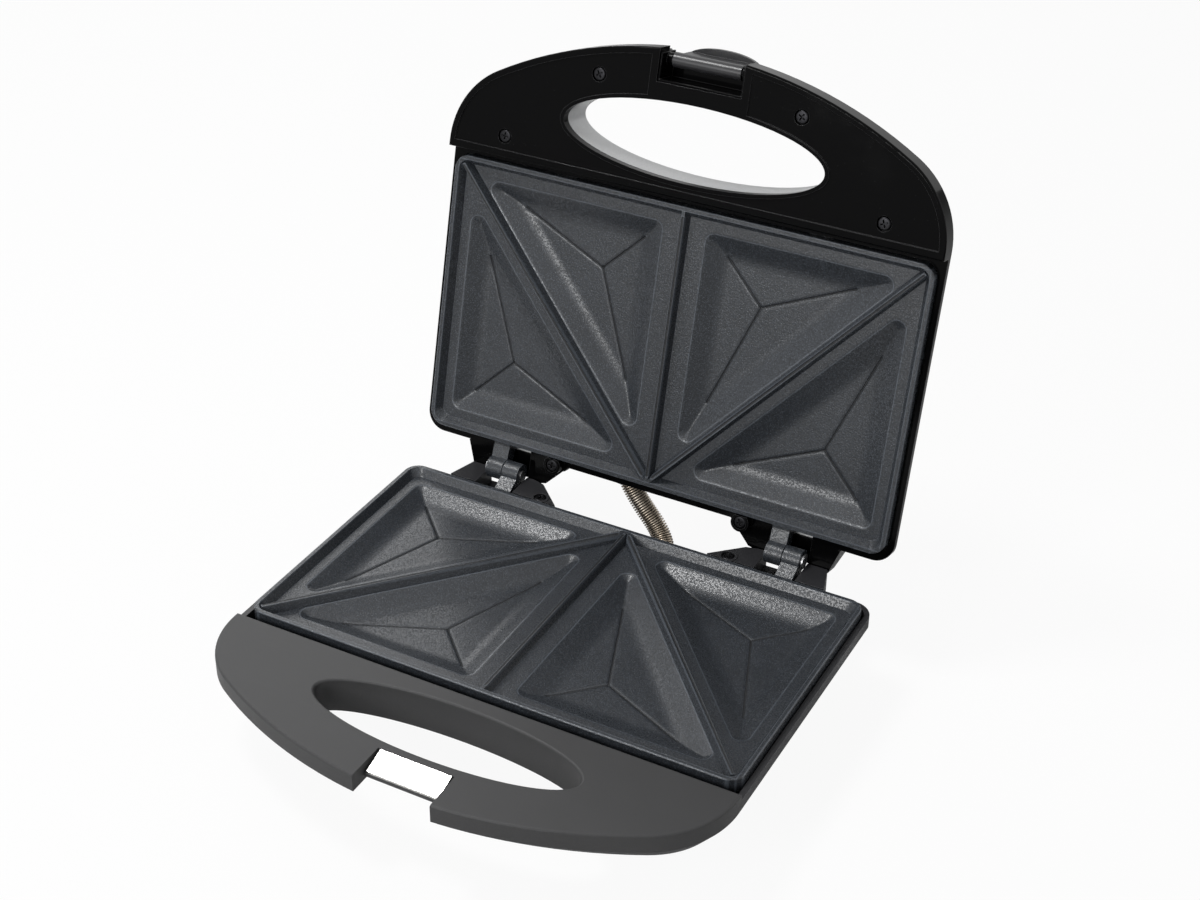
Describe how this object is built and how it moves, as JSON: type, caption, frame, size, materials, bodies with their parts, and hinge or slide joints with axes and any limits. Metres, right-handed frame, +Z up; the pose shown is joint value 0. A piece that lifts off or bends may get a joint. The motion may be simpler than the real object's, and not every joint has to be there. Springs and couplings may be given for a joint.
{
  "type": "sandwich toaster",
  "caption": "Countertop sandwich toaster with two cast plates of triangular wells, a leaning hinged lid, an arched grip handle and a flip-over latch.",
  "frame": {"origin": "on the surface that the feet stand on, in the middle of the width and of the open toaster's depth", "axes": "+Z up, +Y towards the hinge, +X to the right seen from the handle"},
  "size_m": [0.232, 0.2762, 0.2426],
  "materials": {
    "base_black": "fine-grained black moulding",
    "handle_grey": "dark grey moulding",
    "bright_metal": "bright rolled sheet",
    "rubber": "matte rubber",
    "cast_plate": "cast, dark non-stick coating with a fine speckle",
    "element_steel": "heat-tinted sheath",
    "tray_steel": "aluminised sheet",
    "screw_steel": "zinc plated",
    "screw_black": "blackened steel",
    "ceramic": "off-white ceramic",
    "ferrule_black": "black moulding",
    "spring_steel": "bright drawn wire with a warm tint",
    "frame_gloss": "piano black moulding",
    "shell_silver": "silver coated moulding",
    "lens_red": "red transparent plastic",
    "lens_green": "green transparent plastic",
    "lamp_glass": "neon lamp glass",
    "latch_black": "satin black moulding"
  },
  "bodies": {
    "base": {"base_housing": "base_black", "lower_handle": "handle_grey", "catch_plate": "bright_metal", "rubber_feet": "rubber", "lower_plate": "cast_plate", "lower_element": "element_steel", "lower_reflector": "tray_steel", "lower_reflector_screws": "screw_steel", "thermostat": "bright_metal", "thermal_fuse": "bright_metal", "terminal_block": "ceramic", "lower_plate_screws": "screw_steel", "base_hinge_screws": "screw_black", "handle_screws": "screw_steel", "cord_gland": "rubber", "conduit_base_ferrule": "ferrule_black", "hinge_pins": "screw_steel", "conduit_spring": "spring_steel"},
    "lid": {"upper_plate": "cast_plate", "lid_frame": "frame_gloss", "lid_shell": "shell_silver", "upper_element": "element_steel", "upper_reflector": "tray_steel", "upper_reflector_screws": "screw_steel", "upper_plate_screws": "screw_steel", "lid_hinge_screws": "screw_black", "lid_frame_screws": "screw_black", "power_lens": "lens_red", "ready_lens": "lens_green", "indicator_lamps": "lamp_glass", "lamp_holder": "base_black", "latch_pin": "screw_steel", "conduit_lid_ferrule": "ferrule_black"},
    "latch": {"latch": "latch_black"}
  },
  "joints": [
    {"name": "lid_hinge", "type": "hinge", "parent": "base", "child": "lid", "pos_m": [0, 0.0664, 0.044], "axis": [1, 0, 0], "range_deg": [0, 104], "deforming": ["conduit_spring"]},
    {"name": "latch_flip", "type": "hinge", "parent": "lid", "child": "latch", "pos_m": [0, 0.11995, 0.23605], "axis": [1, 0, 0], "range_deg": [0, 180]}
  ]
}
